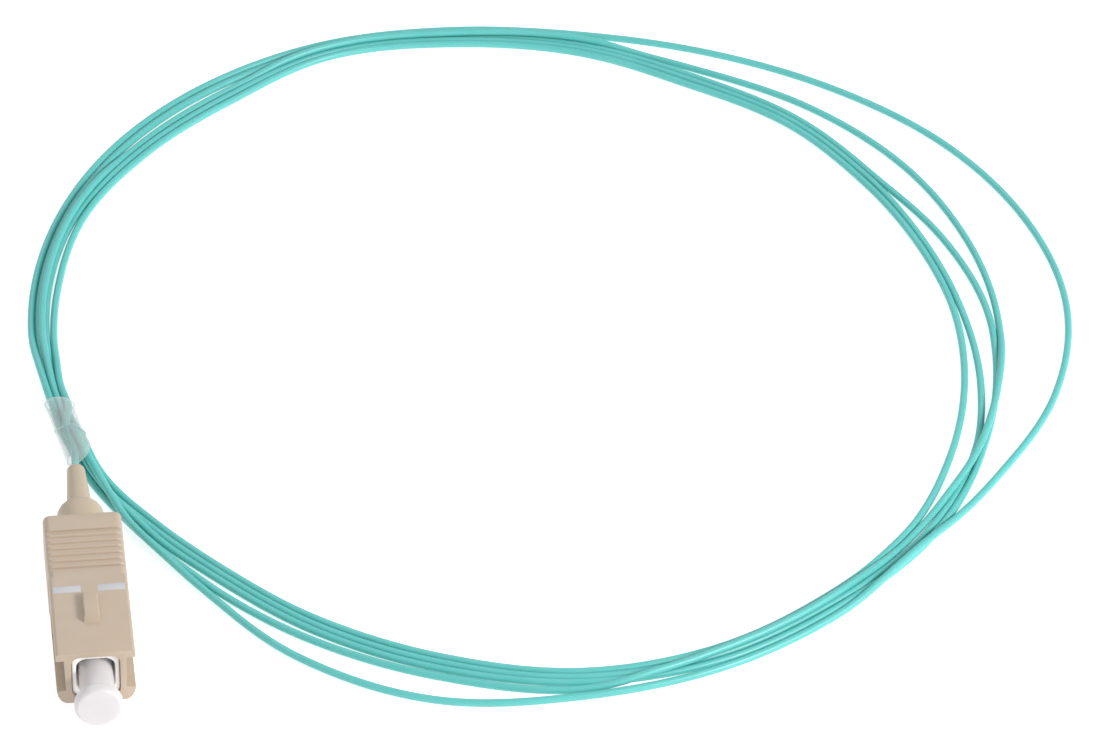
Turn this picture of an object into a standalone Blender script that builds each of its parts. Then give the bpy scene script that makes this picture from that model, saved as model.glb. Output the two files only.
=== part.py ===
"""Fibre optic pigtail: a push-pull connector on a tight-buffered fibre.

The connector lies key upwards on the table, its mating end towards -Y.
The fibre leaves the boot towards +Y, goes up through a clear tie sleeve and
lies in a loose coil of five turns beside the connector.
Origin: on the table, under the middle of the grip housing. Units: metres.
"""
import math

import bmesh
import bpy
from mathutils import Vector

MM = 0.001
GAP = 0.3 * MM                      # clearance between neighbouring pieces

# Grip housing, the outer shell that the fingers pull
HOUSING_LENGTH = 24.0 * MM
HOUSING_WIDTH = 9.0 * MM
HOUSING_HEIGHT = 7.4 * MM
GRIP_LENGTH = 10.8 * MM             # the wider rear part
GRIP_WIDTH = 9.1 * MM
NOSE_TOP_BEVEL = 0.45 * MM
GRIP_TOP_BEVEL = 0.9 * MM
LOWER_CHAMFER_WIDTH = 1.0 * MM
LOWER_CHAMFER_HEIGHT = 1.6 * MM
REAR_WALL = 2.2 * MM

# Grip grooves, which leave ribs between them
RIB_COUNT = 6
RIB_PITCH = 1.07 * MM
GROOVE_WIDTH = 0.55 * MM
GROOVE_DEPTH = 0.25 * MM
GROOVE_SPAN = 7.8 * MM
FIRST_GROOVE_FROM_REAR = 2.45 * MM

# Side channels for the latch arms of the adapter
CHANNEL_LENGTH = 9.5 * MM
CHANNEL_DEPTH = 1.05 * MM
CHANNEL_HEIGHT = 4.5 * MM
CHANNEL_ABOVE_AXIS = 0.45 * MM

# Two shallow seating marks on the top face
MARK_FROM_FRONT = 10.5 * MM
MARK_WIDTH = 0.75 * MM
MARK_INNER = 0.95 * MM
MARK_OUTER = 4.05 * MM
MARK_DEPTH = 0.15 * MM

# Polarity key
KEY_WIDTH = 1.8 * MM
KEY_HEIGHT = 0.8 * MM
KEY_LENGTH = 4.0 * MM
KEY_NOSE = 0.35 * MM
KEY_FROM_FRONT = 5.5 * MM

# Plug frame inside the housing
FRAME_WIDTH = 5.4 * MM
FRAME_HEIGHT = 6.0 * MM
FRAME_LENGTH = 16.6 * MM
FRAME_INSET = 0.4 * MM              # behind the housing's front edge
FRAME_BEVEL = 0.9 * MM
FRAME_BORE_DIAMETER = 4.7 * MM
FRAME_BORE_DEPTH = 7.4 * MM
FRAME_WEB = 1.2 * MM
FRAME_CAVITY_DIAMETER = 4.6 * MM

# Ferrule, its flange and its spring
FERRULE_DIAMETER = 2.5 * MM
FERRULE_INSET = 0.2 * MM
FERRULE_TIP_BEVEL = 0.3 * MM
FLANGE_DIAMETER = 4.0 * MM
FLANGE_SOCKET_DEPTH = 0.9 * MM
FLANGE_BACK_WALL = 0.5 * MM
TAIL_DIAMETER = 2.3 * MM
TAIL_LENGTH = 3.4 * MM
SPRING_WIRE = 0.34 * MM
SPRING_TURNS = 4
SPRING_POINTS_PER_TURN = 14

# Stop ring that closes the frame and carries the boot
STOP_NECK_LENGTH = 1.7 * MM
STOP_FLANGE_LENGTH = 1.0 * MM
STOP_FLANGE_DIAMETER = 5.0 * MM
STOP_BODY_DIAMETER = 4.4 * MM
STOP_BODY_LENGTH = 5.7 * MM
STOP_TAIL_DIAMETER = 2.5 * MM
STOP_TAIL_LENGTH = 4.1 * MM
STOP_BORE_LENGTH = 4.4 * MM

# Boot, whose collar the housing's rear wall slides over
COLLAR_DIAMETER = 5.5 * MM
COLLAR_LENGTH = 4.7 * MM
COLLAR_CLEARANCE = 0.25 * MM
COLLAR_ROUND = 1.3 * MM
BOOT_BASE_DIAMETER = 3.1 * MM
BOOT_TIP_DIAMETER = 2.2 * MM
BOOT_CONE_LENGTH = 7.2 * MM

# Dust cap on the ferrule
CAP_BARREL_DIAMETER = 3.75 * MM
CAP_BARREL_LENGTH = 9.6 * MM
CAP_HEAD_DIAMETER = 5.5 * MM
CAP_HEAD_LENGTH = 1.6 * MM
CAP_HEAD_ROUND = 0.4 * MM
CAP_FLARE = 0.35 * MM
CAP_HEAD_FROM_HOUSING = 3.7 * MM
CAP_BORE_PAST_TIP = 0.6 * MM

# Buffered fibre
FIBRE_DIAMETER = 0.9 * MM
FIBRE_HOLE_DIAMETER = FIBRE_DIAMETER + 2 * GAP
FIBRE_IN_TAIL = 1.4 * MM
FIBRE_POINT_SPACING = 2.7 * MM
FIBRE_ABOVE_TABLE = 0.05 * MM

# Coil: its middle, the height of its strands, and (angle in degrees, inner and
# outer radius in millimetres) where the hand-laid turns narrow and spread
COIL_X = 55.2 * MM
COIL_Y = 47.9 * MM
COIL_HEIGHT = 1.9 * MM
COIL_STEP_DEGREES = 5
COIL_BUNDLE = (
    (0, 54.8, 60.2), (20, 54.3, 60.9), (40, 55.8, 61.3), (60, 56.9, 60.9),
    (80, 59.6, 63.6), (100, 61.2, 65.0), (120, 59.2, 64.6), (140, 58.5, 63.1),
    (160, 57.5, 60.7), (180, 56.1, 58.6), (200, 56.0, 58.7), (220, 55.5, 59.0),
    (240, 57.1, 60.8), (260, 59.7, 63.7), (280, 61.2, 64.9), (300, 59.3, 63.0),
    (320, 57.8, 61.2), (340, 55.9, 59.8),
)

# Stretches where one strand leaves the bundle: (angle in degrees, radius in millimetres)
OUTER_LOOP = (
    (72, 64.0), (66, 64.6), (58, 65.4), (48, 66.7), (38, 68.0), (28, 69.0), (18, 69.6),
    (8, 69.7), (0, 69.2), (-8, 68.0), (-16, 66.3), (-24, 64.7), (-31, 63.2), (-37, 62.3),
)
LOWER_LOOP = (
    (269, 65.5), (262, 66.1), (256, 66.2), (250, 65.8), (244, 64.8), (238, 63.2), (232, 61.4),
    (229, 60.6),
)

# Clear tie sleeve round the bundle
SLEEVE_BORE = 2.9 * MM
SLEEVE_WALL = 0.3 * MM
SLEEVE_FROM_ANGLE = 190.0
SLEEVE_TO_ANGLE = 200.4
SLEEVE_LIFT = 1.3 * MM              # its lower end is held up by the stiff lead from the boot
SLEEVE_STEPS = 6
SLEEVE_EASE_ANGLE = 14.0            # where the bundle spreads again past each end

# Places along the connector's axis, which runs at half the housing's height
AXIS_Z = HOUSING_HEIGHT / 2
HOUSING_FRONT = -HOUSING_LENGTH / 2
HOUSING_REAR = HOUSING_LENGTH / 2
FRAME_FRONT = HOUSING_FRONT + FRAME_INSET
FRAME_REAR = FRAME_FRONT + FRAME_LENGTH
WEB_FRONT = FRAME_FRONT + FRAME_BORE_DEPTH
WEB_REAR = WEB_FRONT + FRAME_WEB
FERRULE_TIP = HOUSING_FRONT + FERRULE_INSET
FLANGE_FRONT = WEB_REAR + GAP
FERRULE_REAR = FLANGE_FRONT + FLANGE_SOCKET_DEPTH
FLANGE_SOCKET_REAR = FERRULE_REAR + GAP
FLANGE_REAR = FLANGE_SOCKET_REAR + FLANGE_BACK_WALL
TAIL_REAR = FLANGE_REAR + TAIL_LENGTH
STOP_FLANGE_FRONT = FRAME_REAR + GAP
STOP_FRONT = STOP_FLANGE_FRONT - STOP_NECK_LENGTH
STOP_BODY_FRONT = STOP_FLANGE_FRONT + STOP_FLANGE_LENGTH
STOP_BODY_REAR = STOP_BODY_FRONT + STOP_BODY_LENGTH
STOP_REAR = STOP_BODY_REAR + STOP_TAIL_LENGTH
COLLAR_FRONT = STOP_BODY_REAR + GAP
COLLAR_REAR = COLLAR_FRONT + COLLAR_LENGTH
BOOT_TIP = COLLAR_REAR + BOOT_CONE_LENGTH
CAP_HEAD_REAR = HOUSING_FRONT - CAP_HEAD_FROM_HOUSING
CAP_HEAD_FRONT = CAP_HEAD_REAR - CAP_HEAD_LENGTH
CAP_REAR = CAP_HEAD_REAR + CAP_BARREL_LENGTH
FIBRE_START = TAIL_REAR - FIBRE_IN_TAIL
FERRULE_HOLE_DIAMETER = FERRULE_DIAMETER + 2 * GAP
BUNDLE_IN_SLEEVE = SLEEVE_BORE - 2 * GAP
REAR_HOLE_DIAMETER = COLLAR_DIAMETER + 2 * COLLAR_CLEARANCE
BLOCK_OVERLAP = 0.05 * MM           # how far two joined blocks, or two cutters, run into each other
PAST_FACE = MM                      # how far a cutter runs past the face that it cuts

ROUND_SIDES = 32
FINE_SIDES = 24


def make_material(name, colour, roughness, metallic=0.0, alpha=1.0):
    """A plain Principled material of the given finish."""
    material = bpy.data.materials.new(name)
    material.use_nodes = True
    shader = material.node_tree.nodes["Principled BSDF"]
    shader.inputs["Base Color"].default_value = (*colour, 1.0)
    shader.inputs["Roughness"].default_value = roughness
    shader.inputs["Metallic"].default_value = metallic
    shader.inputs["Alpha"].default_value = alpha
    return material


def new_object(name, mesh, material):
    """Link a mesh into the scene as a named sub-part."""
    part = bpy.data.objects.new(name, mesh)
    bpy.context.collection.objects.link(part)
    if material:
        mesh.materials.append(material)
    return part


def mesh_from_bmesh(name, bm):
    """Finish a bmesh with outward normals and turn it into a mesh."""
    bmesh.ops.recalc_face_normals(bm, faces=bm.faces)
    mesh = bpy.data.meshes.new(name)
    bm.to_mesh(mesh)
    bm.free()
    return mesh


def box_mesh(name, low, high, bevel=0.0, segments=2):
    """A box between two corners, its lengthwise edges rounded where a bevel is given."""
    bm = bmesh.new()
    bmesh.ops.create_cube(bm, size=1.0)
    for vert in bm.verts:
        for axis in range(3):
            vert.co[axis] = high[axis] if vert.co[axis] > 0 else low[axis]
    if bevel > 0:
        edges = [edge for edge in bm.edges if edge.verts[0].co.y != edge.verts[1].co.y]
        bmesh.ops.bevel(bm, geom=edges, offset=bevel, segments=segments, profile=0.5, affect="EDGES")
    return mesh_from_bmesh(name, bm)


def bridged_mesh(name, first, second):
    """A closed solid between two matching outlines of points."""
    bm = bmesh.new()
    ends = [[bm.verts.new(point) for point in outline] for outline in (first, second)]
    bm.faces.new(ends[0])
    bm.faces.new(ends[1])
    for index in range(len(first)):
        after = (index + 1) % len(first)
        bm.faces.new((ends[0][index], ends[0][after], ends[1][after], ends[1][index]))
    return mesh_from_bmesh(name, bm)


def prism_mesh(name, outline, front, rear):
    """An outline of (x, z) points run along the connector's axis."""
    ends = [[(x, y, z) for x, z in outline] for y in (front, rear)]
    return bridged_mesh(name, *ends)


def housing_outline(half_width, top_bevel):
    """Right half of the housing's section, mirrored: rounded above, chamfered below."""
    right = [(half_width - LOWER_CHAMFER_WIDTH, 0.0), (half_width, LOWER_CHAMFER_HEIGHT)]
    steps = 3
    for step in range(steps + 1):
        turn = math.pi / 2 * step / steps
        x = half_width - top_bevel * (1 - math.cos(turn))
        right.append((x, HOUSING_HEIGHT - top_bevel * (1 - math.sin(turn))))
    return right + [(-x, z) for x, z in reversed(right)]


def turned_mesh(name, profile, sides=ROUND_SIDES):
    """A piece turned round the connector's axis from (y, radius) points in a closed loop.

    A point with radius 0 lies on the axis and becomes a single vertex.
    """
    bm = bmesh.new()
    rings = []
    for y, radius in profile:
        if radius <= 0:
            rings.append([bm.verts.new((0.0, y, AXIS_Z))])
            continue
        ring = []
        for side in range(sides):
            turn = 2 * math.pi * side / sides
            ring.append(bm.verts.new((radius * math.cos(turn), y, AXIS_Z + radius * math.sin(turn))))
        rings.append(ring)
    for index, ring in enumerate(rings):
        following = rings[(index + 1) % len(rings)]
        if len(ring) == 1 and len(following) == 1:
            continue
        for side in range(sides):
            after = (side + 1) % sides
            if len(ring) == 1:
                bm.faces.new((ring[0], following[side], following[after]))
            elif len(following) == 1:
                bm.faces.new((ring[side], ring[after], following[0]))
            else:
                bm.faces.new((ring[side], ring[after], following[after], following[side]))
    return mesh_from_bmesh(name, bm)


def add_boolean(part, operation, mesh):
    """Cut a helper mesh from a part, or join it on."""
    helper = new_object(mesh.name, mesh, None)
    helper.hide_render = True
    helper.display_type = "WIRE"
    modifier = part.modifiers.new(mesh.name, "BOOLEAN")
    modifier.operation = operation
    modifier.solver = "EXACT"
    modifier.object = helper
    return helper


def shade_round(part, angle=35.0):
    """Smooth the round faces and keep the corners sharp."""
    part.data.shade_smooth()
    part.data.set_sharp_from_angle(angle=math.radians(angle))


def smooth_closed(keys, angle):
    """Value at an angle from evenly spaced keys on a closed ring (Catmull-Rom)."""
    step = 360.0 / len(keys)
    place = (angle % 360.0) / step
    index = int(place)
    t = place - index
    a, b, c, d = (keys[(index + offset) % len(keys)] for offset in (-1, 0, 1, 2))
    return 0.5 * (2 * b + (c - a) * t + (2 * a - 5 * b + 4 * c - d) * t * t + (3 * b - a - 3 * c + d) * t ** 3)


def smooth_open(keys, place):
    """Point at a place, counted in keys, on an open list of vectors (Catmull-Rom)."""
    last = len(keys) - 1
    index = min(int(place), last - 1)
    t = place - index
    a, b, c, d = (keys[min(max(index + offset, 0), last)] for offset in (-1, 0, 1, 2))
    return 0.5 * (2 * b + (c - a) * t + (2 * a - 5 * b + 4 * c - d) * t * t + (3 * b - a - 3 * c + d) * t ** 3)


def coil_point(angle, radius, z):
    """World point at an angle and radius from the coil's middle."""
    turn = math.radians(angle)
    return Vector((COIL_X + radius * math.cos(turn), COIL_Y + radius * math.sin(turn), z))


def bundle_radii(angle):
    """Inner and outer radius of the bundle of turns at an angle."""
    inner = smooth_closed([key[1] * MM for key in COIL_BUNDLE], angle)
    outer = smooth_closed([key[2] * MM for key in COIL_BUNDLE], angle)
    return inner, outer


def sleeve_share(angle):
    """1 inside the tie sleeve, easing to 0 away from both of its ends."""
    outside = max(SLEEVE_FROM_ANGLE - angle, angle - SLEEVE_TO_ANGLE, 0.0)
    t = min(outside / SLEEVE_EASE_ANGLE, 1.0)
    return 1.0 - t * t * (3 - 2 * t)


def sleeve_axis_height(angle):
    """Height of the sleeve's axis: one end on the table, the end at the boot lifted."""
    share = (angle - SLEEVE_FROM_ANGLE) / (SLEEVE_TO_ANGLE - SLEEVE_FROM_ANGLE)
    return SLEEVE_BORE / 2 + SLEEVE_WALL + SLEEVE_LIFT * min(max(share, 0.0), 1.0)


def bundle_section(angle):
    """Middle radius, middle height, half width and half height of the bundle at an angle."""
    inner, outer = bundle_radii(angle)
    share = sleeve_share(angle)
    middle = (inner + outer) / 2
    half_width = (outer - inner) / 2
    half_height = COIL_HEIGHT / 2
    round_half = BUNDLE_IN_SLEEVE / 2
    half_width += (round_half - half_width) * share
    height = half_height + (sleeve_axis_height(angle) - half_height) * share
    half_height += (round_half - half_height) * share
    return middle, height, half_width, half_height


def sample_path(keys, spacing):
    """Evenly spaced points along a smooth curve through the keys."""
    fine = []
    steps = 16
    for index in range(len(keys) - 1):
        for step in range(steps):
            fine.append(smooth_open(keys, index + step / steps))
    fine.append(keys[-1].copy())
    lengths = [0.0]
    for before, after in zip(fine, fine[1:]):
        lengths.append(lengths[-1] + (after - before).length)
    count = max(2, round(lengths[-1] / spacing))
    points = []
    at = 0
    for number in range(count + 1):
        target = lengths[-1] * number / count
        while at < len(lengths) - 2 and lengths[at + 1] < target:
            at += 1
        share = (target - lengths[at]) / (lengths[at + 1] - lengths[at])
        points.append(fine[at].lerp(fine[at + 1], share))
    return points


def make_tube(name, points, diameter, material):
    """A round tube with closed ends through a list of points."""
    curve = bpy.data.curves.new(name, "CURVE")
    curve.dimensions = "3D"
    curve.bevel_depth = diameter / 2
    curve.bevel_resolution = 2
    curve.use_fill_caps = True
    spline = curve.splines.new("POLY")
    spline.points.add(len(points) - 1)
    for spline_point, point in zip(spline.points, points):
        spline_point.co = (*point, 1.0)
    tube = bpy.data.objects.new(name, curve)
    bpy.context.collection.objects.link(tube)
    curve.materials.append(material)
    return tube


def make_grip_housing(material):
    """Outer shell: a rectangular tube with key, side channels, marks and grip ribs."""
    body = new_object("grip_housing", prism_mesh(
        "grip_housing", housing_outline(HOUSING_WIDTH / 2, NOSE_TOP_BEVEL), HOUSING_FRONT,
        HOUSING_REAR - GRIP_LENGTH + BLOCK_OVERLAP), material)
    add_boolean(body, "UNION", prism_mesh(
        "grip_part", housing_outline(GRIP_WIDTH / 2, GRIP_TOP_BEVEL), HOUSING_REAR - GRIP_LENGTH, HOUSING_REAR))
    add_boolean(body, "UNION", key_mesh())
    pocket_half_width = FRAME_WIDTH / 2 + GAP
    pocket_half_height = FRAME_HEIGHT / 2 + GAP
    add_boolean(body, "DIFFERENCE", box_mesh(
        "frame_pocket",
        (-pocket_half_width, HOUSING_FRONT - PAST_FACE, AXIS_Z - pocket_half_height),
        (pocket_half_width, HOUSING_REAR - REAR_WALL, AXIS_Z + pocket_half_height)))
    hole_front = HOUSING_REAR - REAR_WALL - BLOCK_OVERLAP
    hole_rear = HOUSING_REAR + PAST_FACE
    hole_radius = REAR_HOLE_DIAMETER / 2
    rear_hole = [(hole_front, 0.0), (hole_front, hole_radius), (hole_rear, hole_radius), (hole_rear, 0.0)]
    add_boolean(body, "DIFFERENCE", turned_mesh("rear_hole", rear_hole))
    for side in (-1, 1):
        add_boolean(body, "DIFFERENCE", side_channel_mesh(side))
        add_boolean(body, "DIFFERENCE", mark_mesh(side))
    for face in (-1, 1):
        for number in range(RIB_COUNT + 1):
            add_boolean(body, "DIFFERENCE", groove_mesh(number, face))
    return body


def key_mesh():
    """Polarity key with a sloping nose towards the front."""
    top = HOUSING_HEIGHT + KEY_HEIGHT
    root = HOUSING_HEIGHT - NOSE_TOP_BEVEL / 2
    front = HOUSING_FRONT + KEY_FROM_FRONT
    outline = [(front - KEY_NOSE, HOUSING_HEIGHT), (front, top), (front + KEY_LENGTH, top),
               (front + KEY_LENGTH, root), (front - KEY_NOSE, root)]
    ends = []
    for x in (-KEY_WIDTH / 2, KEY_WIDTH / 2):
        ends.append([(x, y, z) for y, z in outline])
    return bridged_mesh("polarity_key", *ends)


def side_channel_mesh(side):
    """Channel along one side of the nose, open to the front and outwards."""
    outer = HOUSING_WIDTH / 2 + PAST_FACE
    inner = HOUSING_WIDTH / 2 - CHANNEL_DEPTH
    low_x, high_x = sorted((side * inner, side * outer))
    middle = AXIS_Z + CHANNEL_ABOVE_AXIS
    return box_mesh(
        f"side_channel_{'left' if side < 0 else 'right'}",
        (low_x, HOUSING_FRONT - PAST_FACE, middle - CHANNEL_HEIGHT / 2),
        (high_x, HOUSING_FRONT + CHANNEL_LENGTH, middle + CHANNEL_HEIGHT / 2))


def mark_mesh(side):
    """Shallow recess for one seating mark."""
    low_x, high_x = sorted((side * MARK_INNER, side * MARK_OUTER))
    front = HOUSING_FRONT + MARK_FROM_FRONT
    return box_mesh(
        f"seating_mark_{'left' if side < 0 else 'right'}",
        (low_x, front, HOUSING_HEIGHT - MARK_DEPTH),
        (high_x, front + MARK_WIDTH, HOUSING_HEIGHT + PAST_FACE))


def groove_mesh(number, face):
    """One groove across the grip, on the top face (1) or the bottom face (-1)."""
    rear = HOUSING_REAR - FIRST_GROOVE_FROM_REAR - number * RIB_PITCH
    if face > 0:
        low_z, high_z = HOUSING_HEIGHT - GROOVE_DEPTH, HOUSING_HEIGHT + PAST_FACE
    else:
        low_z, high_z = -PAST_FACE, GROOVE_DEPTH
    return box_mesh(
        f"groove_{'top' if face > 0 else 'bottom'}_{number}",
        (-GROOVE_SPAN / 2, rear - GROOVE_WIDTH, low_z), (GROOVE_SPAN / 2, rear, high_z))


def make_plug_frame(material):
    """Inner body with the front bore, the web that stops the flange, and the spring cavity."""
    body = new_object("plug_frame", box_mesh(
        "plug_frame",
        (-FRAME_WIDTH / 2, FRAME_FRONT, AXIS_Z - FRAME_HEIGHT / 2),
        (FRAME_WIDTH / 2, FRAME_REAR, AXIS_Z + FRAME_HEIGHT / 2), FRAME_BEVEL, 3), material)
    bore = FRAME_BORE_DIAMETER / 2
    hole = FERRULE_HOLE_DIAMETER / 2
    cavity = FRAME_CAVITY_DIAMETER / 2
    before = FRAME_FRONT - PAST_FACE
    behind = FRAME_REAR + PAST_FACE
    profile = [
        (before, 0.0), (before, bore), (WEB_FRONT, bore), (WEB_FRONT, hole), (WEB_REAR, hole),
        (WEB_REAR, cavity), (behind, cavity), (behind, 0.0)]
    add_boolean(body, "DIFFERENCE", turned_mesh("frame_bore", profile))
    return body


def make_ferrule(material):
    """Ceramic ferrule with a chamfered tip."""
    radius = FERRULE_DIAMETER / 2
    profile = [
        (FERRULE_TIP, 0.0), (FERRULE_TIP, radius - FERRULE_TIP_BEVEL),
        (FERRULE_TIP + FERRULE_TIP_BEVEL, radius), (FERRULE_REAR, radius), (FERRULE_REAR, 0.0)]
    return new_object("ferrule", turned_mesh("ferrule", profile, FINE_SIDES), material)


def make_ferrule_flange(material):
    """Metal flange behind the web, with the tail that guides the spring."""
    profile = [
        (FLANGE_FRONT, FERRULE_HOLE_DIAMETER / 2), (FLANGE_FRONT, FLANGE_DIAMETER / 2),
        (FLANGE_REAR, FLANGE_DIAMETER / 2), (FLANGE_REAR, TAIL_DIAMETER / 2), (TAIL_REAR, TAIL_DIAMETER / 2),
        (TAIL_REAR, FIBRE_HOLE_DIAMETER / 2), (FLANGE_SOCKET_REAR, FIBRE_HOLE_DIAMETER / 2),
        (FLANGE_SOCKET_REAR, FERRULE_HOLE_DIAMETER / 2)]
    return new_object("ferrule_flange", turned_mesh("ferrule_flange", profile, FINE_SIDES), material)


def make_spring(material):
    """Coil spring between the flange and the stop ring, on the flange's tail."""
    radius = TAIL_DIAMETER / 2 + GAP + SPRING_WIRE / 2
    front = FLANGE_REAR + GAP + SPRING_WIRE / 2
    rear = STOP_FRONT - GAP - SPRING_WIRE / 2
    points = []
    count = SPRING_TURNS * SPRING_POINTS_PER_TURN
    for number in range(count + 1):
        turn = 2 * math.pi * number / SPRING_POINTS_PER_TURN
        y = front + (rear - front) * number / count
        points.append(Vector((radius * math.cos(turn), y, AXIS_Z + radius * math.sin(turn))))
    return make_tube("ferrule_spring", points, SPRING_WIRE, material)


def make_stop_ring(material):
    """Stop ring: neck in the frame, flange against it, long body and a tail for the boot."""
    neck = FRAME_CAVITY_DIAMETER / 2 - GAP
    wide_bore = TAIL_DIAMETER / 2 + GAP
    narrow_bore = FIBRE_HOLE_DIAMETER / 2
    bore_end = STOP_FRONT + STOP_BORE_LENGTH
    profile = [
        (STOP_FRONT, wide_bore), (STOP_FRONT, neck), (STOP_FLANGE_FRONT, neck),
        (STOP_FLANGE_FRONT, STOP_FLANGE_DIAMETER / 2), (STOP_BODY_FRONT, STOP_FLANGE_DIAMETER / 2),
        (STOP_BODY_FRONT, STOP_BODY_DIAMETER / 2), (STOP_BODY_REAR, STOP_BODY_DIAMETER / 2),
        (STOP_BODY_REAR, STOP_TAIL_DIAMETER / 2), (STOP_REAR, STOP_TAIL_DIAMETER / 2),
        (STOP_REAR, narrow_bore), (bore_end, narrow_bore), (bore_end, wide_bore)]
    return new_object("stop_ring", turned_mesh("stop_ring", profile), material)


def make_boot(material):
    """Boot: a round collar with soft shoulders and a cone that ends at the fibre."""
    collar = COLLAR_DIAMETER / 2
    socket = STOP_TAIL_DIAMETER / 2 + GAP
    hole = FIBRE_HOLE_DIAMETER / 2
    socket_rear = STOP_REAR + GAP
    profile = [(COLLAR_FRONT, socket), (COLLAR_FRONT, collar - COLLAR_ROUND / 2)]
    profile.append((COLLAR_FRONT + COLLAR_ROUND / 2, collar))
    corner_steps = 4
    for step in range(corner_steps + 1):
        turn = math.pi / 2 * step / corner_steps
        y = COLLAR_REAR - COLLAR_ROUND * (1 - math.sin(turn))
        profile.append((y, collar - COLLAR_ROUND * (1 - math.cos(turn))))
    profile += [
        (COLLAR_REAR, BOOT_BASE_DIAMETER / 2), (BOOT_TIP, BOOT_TIP_DIAMETER / 2), (BOOT_TIP, hole),
        (socket_rear, hole), (socket_rear, socket)]
    return new_object("boot", turned_mesh("boot", profile), material)


def make_dust_cap(material):
    """Dust cap: a barrel over the ferrule and a short wide head."""
    barrel = CAP_BARREL_DIAMETER / 2
    head = CAP_HEAD_DIAMETER / 2
    bore = FERRULE_DIAMETER / 2 + GAP
    bore_end = FERRULE_TIP - CAP_BORE_PAST_TIP
    profile = [
        (CAP_HEAD_FRONT, 0.0), (CAP_HEAD_FRONT, head - CAP_HEAD_ROUND), (CAP_HEAD_FRONT + CAP_HEAD_ROUND, head),
        (CAP_HEAD_REAR - CAP_HEAD_ROUND / 2, head), (CAP_HEAD_REAR, head - CAP_HEAD_ROUND / 2),
        (CAP_HEAD_REAR, barrel + CAP_FLARE), (CAP_HEAD_REAR + CAP_FLARE, barrel),
        (CAP_REAR, barrel), (CAP_REAR, bore), (bore_end, bore), (bore_end, 0.0)]
    return new_object("dust_cap", turned_mesh("dust_cap", profile), material)


def make_tie_sleeve(material):
    """Clear sleeve round the bundle, following the coil's curve."""
    sides = FINE_SIDES
    bm = bmesh.new()
    rows = []
    for radius in (SLEEVE_BORE / 2 + SLEEVE_WALL, SLEEVE_BORE / 2):
        rings = []
        for step in range(SLEEVE_STEPS + 1):
            angle = SLEEVE_FROM_ANGLE + (SLEEVE_TO_ANGLE - SLEEVE_FROM_ANGLE) * step / SLEEVE_STEPS
            middle = bundle_section(angle)[0]
            ring = []
            for side in range(sides):
                turn = 2 * math.pi * side / sides
                z = sleeve_axis_height(angle) + radius * math.sin(turn)
                ring.append(bm.verts.new(coil_point(angle, middle + radius * math.cos(turn), z)))
            rings.append(ring)
        rows.append(rings)
    outer, inner = rows
    loop = outer + inner[::-1]
    for index, ring in enumerate(loop):
        following = loop[(index + 1) % len(loop)]
        for side in range(sides):
            after = (side + 1) % sides
            bm.faces.new((ring[side], ring[after], following[after], following[side]))
    return new_object("tie_sleeve", mesh_from_bmesh("tie_sleeve", bm), material)


def make_fibre_coil(material):
    """Outer shape of the five turns, as one closed ring that lies on the table."""
    wide, flat = 0.6, 0.35
    corners = [(1.0, -flat), (1.0, flat), (wide, 1.0), (-wide, 1.0)]
    corners += [(-across, -up) for across, up in corners]
    bm = bmesh.new()
    rings = []
    for angle in range(0, 360, COIL_STEP_DEGREES):
        middle, height, half_width, half_height = bundle_section(angle)
        ring = []
        for across, up in corners:
            ring.append(bm.verts.new(coil_point(angle, middle + across * half_width, height + up * half_height)))
        rings.append(ring)
    for index, ring in enumerate(rings):
        following = rings[(index + 1) % len(rings)]
        for corner in range(len(corners)):
            after = (corner + 1) % len(corners)
            bm.faces.new((ring[corner], ring[after], following[after], following[corner]))
    return new_object("fibre_coil", mesh_from_bmesh("fibre_coil", bm), material)


def make_fibre_lead(material):
    """Fibre from the ferrule's flange through the boot to the tie sleeve."""
    sleeve_middle = bundle_section(SLEEVE_TO_ANGLE)[0]
    mouth = coil_point(SLEEVE_TO_ANGLE, sleeve_middle, sleeve_axis_height(SLEEVE_TO_ANGLE))
    beside_bundle = Vector((-1.35 * MM, -0.5 * MM, 1.1 * MM))
    keys = [Vector((0.0, y, AXIS_Z)) for y in (FIBRE_START, STOP_REAR, BOOT_TIP - MM, BOOT_TIP + MM)]
    keys.append(mouth + beside_bundle)
    return make_tube("fibre_lead", sample_path(keys, FIBRE_POINT_SPACING), FIBRE_DIAMETER, material)


def make_loop(name, keys, material):
    """One strand that lies outside the bundle, on the table."""
    on_table = FIBRE_DIAMETER / 2 + FIBRE_ABOVE_TABLE
    path = [coil_point(angle, radius * MM, on_table) for angle, radius in keys]
    return make_tube(name, sample_path(path, FIBRE_POINT_SPACING), FIBRE_DIAMETER, material)


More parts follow.
